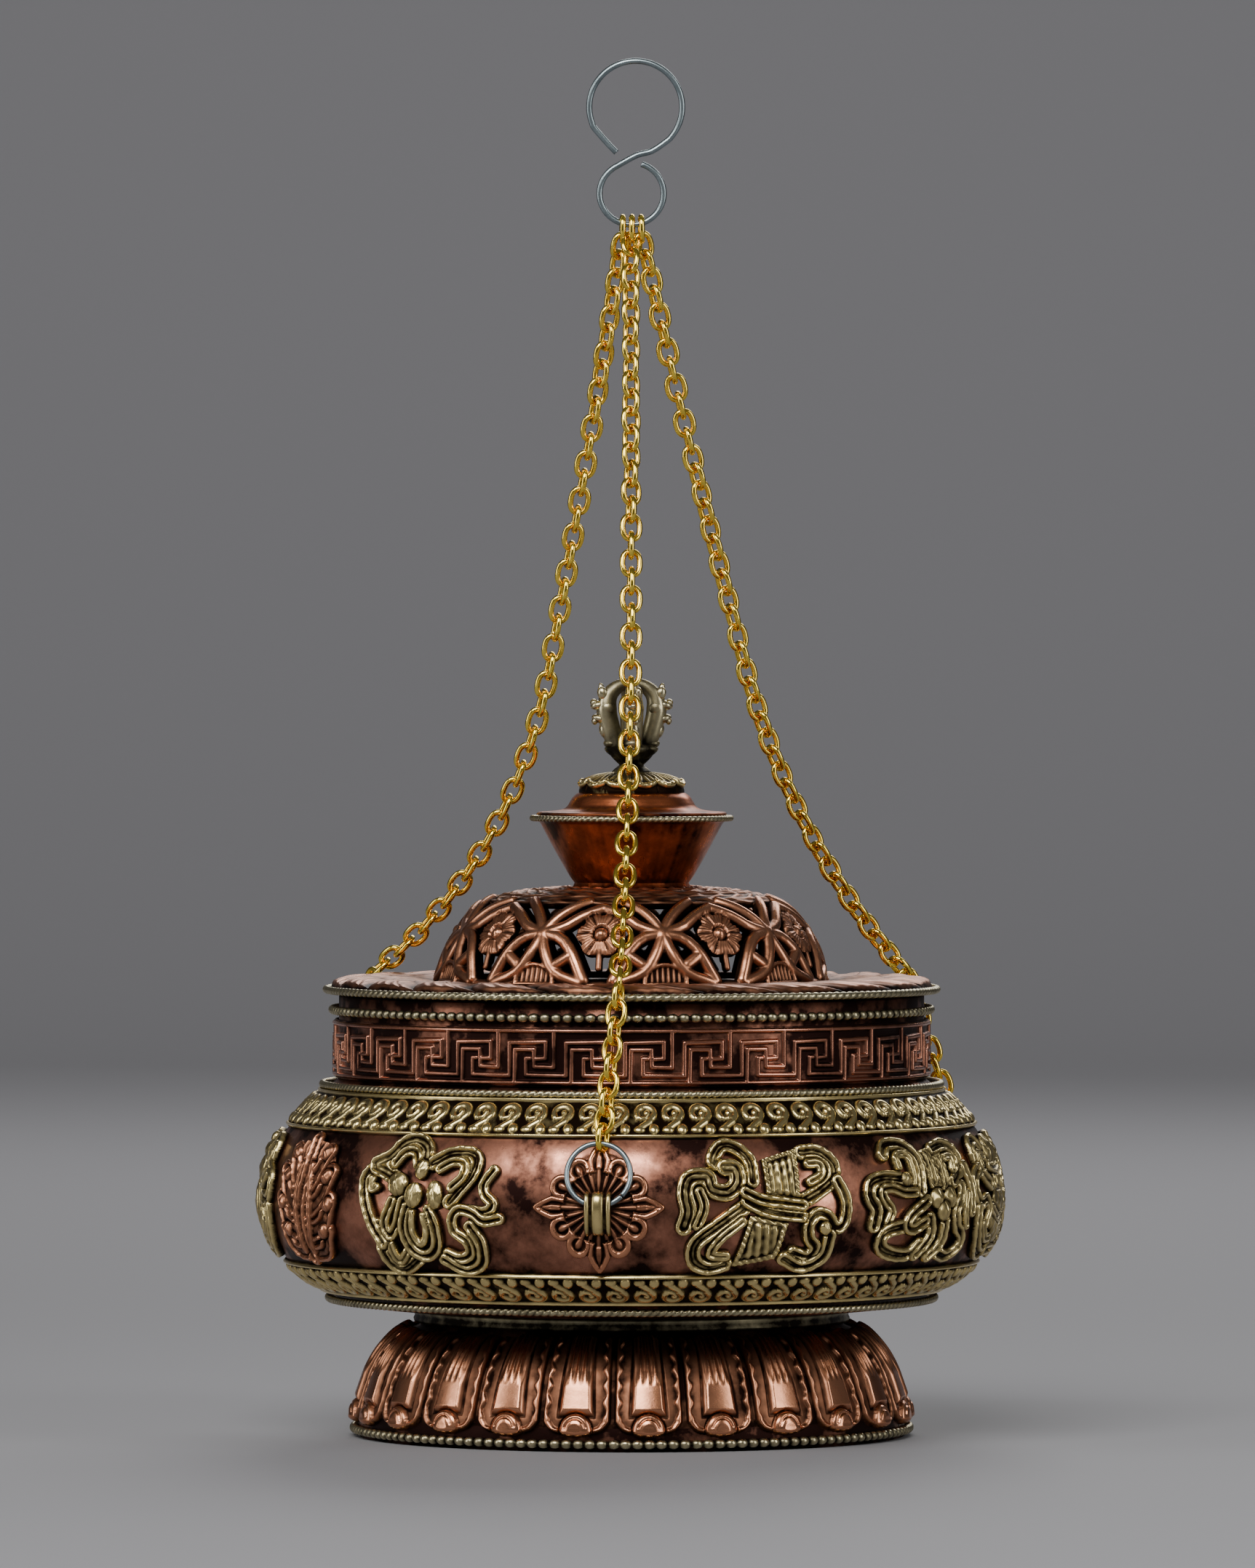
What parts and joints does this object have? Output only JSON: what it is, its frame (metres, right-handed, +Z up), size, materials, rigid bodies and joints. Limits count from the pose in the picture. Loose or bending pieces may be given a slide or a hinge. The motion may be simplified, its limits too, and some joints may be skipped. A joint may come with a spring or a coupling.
{
  "type": "hanging thurible censer",
  "caption": "Hanging incense burner: round copper bowl on a petal foot, pierced domed lid with smoke cup and finial, three link chains meeting in an S-hook.",
  "frame": {"origin": "centre of the foot's underside, on the surface that the burner stands on", "axes": "+Z up, -Y towards the front chain's side (its lug is 5 degrees left of the front), +X to the viewer's right"},
  "size_m": [0.1816, 0.1852, 0.335],
  "materials": {
    "patinated_copper": "patinated copper sheet, rubbed bright on the high points",
    "bright_copper": "chased copper sheet",
    "red_copper": "heat-reddened copper",
    "aged_brass": "cast or stamped brass, dark in the recesses",
    "dark_brass": "tarnished brass wire and strip",
    "gold_plate": "bright gold-plated brass chain",
    "galvanised_steel": "galvanised steel wire",
    "sooty_iron": "sooty sheet iron"
  },
  "bodies": {
    "bowl": {"foot_shell": "dark_brass", "foot_bead_ring": "dark_brass", "neck_collar": "dark_brass", "petal_skirt": "bright_copper", "bowl_shell": "patinated_copper", "lower_rope_ring": "dark_brass", "lower_scroll_band": "aged_brass", "upper_scroll_band": "aged_brass", "upper_rope_ring": "dark_brass", "key_band": "patinated_copper", "rim_bead_ring": "dark_brass", "symbol_parasol": "aged_brass", "symbol_conch": "aged_brass", "symbol_banner": "aged_brass", "symbol_fishes": "aged_brass", "symbol_vase": "aged_brass", "symbol_knot": "aged_brass", "symbol_wheel": "aged_brass", "symbol_lotus": "aged_brass", "leaf_plaque": "bright_copper", "rosette_front": "bright_copper", "lug_front": "aged_brass", "rosette_right": "bright_copper", "lug_right": "aged_brass", "rosette_left": "bright_copper", "lug_left": "aged_brass"},
    "pan": {"fire_pan": "sooty_iron"},
    "lid": {"lid_flange": "bright_copper", "flange_rope_ring": "dark_brass", "lid_dome": "bright_copper", "smoke_cup": "red_copper", "cup_rope_ring": "dark_brass", "cup_cap": "bright_copper", "petal_collar": "aged_brass", "finial": "aged_brass", "finial_nut": "aged_brass"},
    "ring_front": {"ring_front": "galvanised_steel"},
    "chain_front_lower": {"chain_front_lower": "gold_plate"},
    "chain_front_middle": {"chain_front_middle": "gold_plate"},
    "chain_front_top": {"chain_front_top": "gold_plate"},
    "ring_right": {"ring_right": "galvanised_steel"},
    "chain_right_lower": {"chain_right_lower": "gold_plate"},
    "chain_right_middle": {"chain_right_middle": "gold_plate"},
    "chain_right_top": {"chain_right_top": "gold_plate"},
    "ring_left": {"ring_left": "galvanised_steel"},
    "chain_left_lower": {"chain_left_lower": "gold_plate"},
    "chain_left_middle": {"chain_left_middle": "gold_plate"},
    "chain_left_top": {"chain_left_top": "gold_plate"},
    "hook": {"hook": "galvanised_steel"}
  },
  "joints": [
    {"name": "lid_lift", "type": "slide", "parent": "bowl", "child": "lid", "axis": [0, 0, 1], "range_m": [0, 0.06]},
    {"name": "pan_lift", "type": "slide", "parent": "bowl", "child": "pan", "axis": [0, 0, 1], "range_m": [0, 0.0361]},
    {"name": "ring_front_swing", "type": "hinge", "parent": "bowl", "child": "ring_front", "pos_m": [-0.008, -0.09145, 0.0599], "axis": [0.9962, -0.0872, 0], "range_deg": [0, 185.18]},
    {"name": "chain_front_lower_swing", "type": "hinge", "parent": "ring_front", "child": "chain_front_lower", "pos_m": [-0.00766, -0.08752, 0.07447], "axis": [0.9962, -0.0872, 0], "range_deg": [0, 6.02]},
    {"name": "chain_front_middle_swing", "type": "hinge", "parent": "chain_front_lower", "child": "chain_front_middle", "pos_m": [-0.00679, -0.0776, 0.1112], "axis": [0.9962, -0.0872, 0], "range_deg": [-71.06, 0]},
    {"name": "chain_front_top_swing", "type": "hinge", "parent": "chain_front_middle", "child": "chain_front_top", "pos_m": [-0.00252, -0.02884, 0.19659], "axis": [0.9962, -0.0872, 0], "range_deg": [-14.5, 0]},
    {"name": "ring_right_swing", "type": "hinge", "parent": "bowl", "child": "ring_right", "pos_m": [0.0832, 0.0388, 0.0599], "axis": [-0.4226, 0.9063, 0], "range_deg": [0, 185.18]},
    {"name": "chain_right_lower_swing", "type": "hinge", "parent": "ring_right", "child": "chain_right_lower", "pos_m": [0.07962, 0.03713, 0.07447], "axis": [-0.4226, 0.9063, 0], "range_deg": [0, 6.02]},
    {"name": "chain_right_middle_swing", "type": "hinge", "parent": "chain_right_lower", "child": "chain_right_middle", "pos_m": [0.0706, 0.03292, 0.1112], "axis": [-0.4226, 0.9063, 0], "range_deg": [-71.06, 0]},
    {"name": "chain_right_top_swing", "type": "hinge", "parent": "chain_right_middle", "child": "chain_right_top", "pos_m": [0.02624, 0.01223, 0.19659], "axis": [-0.4226, 0.9063, 0], "range_deg": [-14.5, 0]},
    {"name": "ring_left_swing", "type": "hinge", "parent": "bowl", "child": "ring_left", "pos_m": [-0.0752, 0.05265, 0.0599], "axis": [-0.5736, -0.8192, 0], "range_deg": [0, 185.18]},
    {"name": "chain_left_lower_swing", "type": "hinge", "parent": "ring_left", "child": "chain_left_lower", "pos_m": [-0.07196, 0.05039, 0.07447], "axis": [-0.5736, -0.8192, 0], "range_deg": [0, 6.02]},
    {"name": "chain_left_middle_swing", "type": "hinge", "parent": "chain_left_lower", "child": "chain_left_middle", "pos_m": [-0.06381, 0.04468, 0.1112], "axis": [-0.5736, -0.8192, 0], "range_deg": [-67.34, 0]},
    {"name": "chain_left_top_swing", "type": "hinge", "parent": "chain_left_middle", "child": "chain_left_top", "pos_m": [-0.0188, 0.01316, 0.19409], "axis": [-0.5736, -0.8192, 0], "range_deg": [-21.93, 0]},
    {"name": "hook_swing", "type": "hinge", "parent": "chain_front_top", "child": "hook", "pos_m": [0, 0, 0.29445], "axis": [1, 0, 0], "range_deg": [-20, 20]}
  ],
  "couplings": [
    {"joint": "pan_lift", "follows": "lid_lift", "ratio": 0.6},
    {"joint": "ring_front_swing", "follows": "lid_lift", "rad_per_m": 53.861},
    {"joint": "chain_front_lower_swing", "follows": "lid_lift", "rad_per_m": 1.7453},
    {"joint": "chain_front_middle_swing", "follows": "lid_lift", "rad_per_m": -20.665},
    {"joint": "chain_front_top_swing", "follows": "lid_lift", "rad_per_m": -4.2121},
    {"joint": "ring_right_swing", "follows": "lid_lift", "rad_per_m": 53.861},
    {"joint": "chain_right_lower_swing", "follows": "lid_lift", "rad_per_m": 1.7453},
    {"joint": "chain_right_middle_swing", "follows": "lid_lift", "rad_per_m": -20.665},
    {"joint": "chain_right_top_swing", "follows": "lid_lift", "rad_per_m": -4.2121},
    {"joint": "ring_left_swing", "follows": "lid_lift", "rad_per_m": 53.861},
    {"joint": "chain_left_lower_swing", "follows": "lid_lift", "rad_per_m": 1.7453},
    {"joint": "chain_left_middle_swing", "follows": "lid_lift", "rad_per_m": -19.583},
    {"joint": "chain_left_top_swing", "follows": "lid_lift", "rad_per_m": -6.3734}
  ]
}
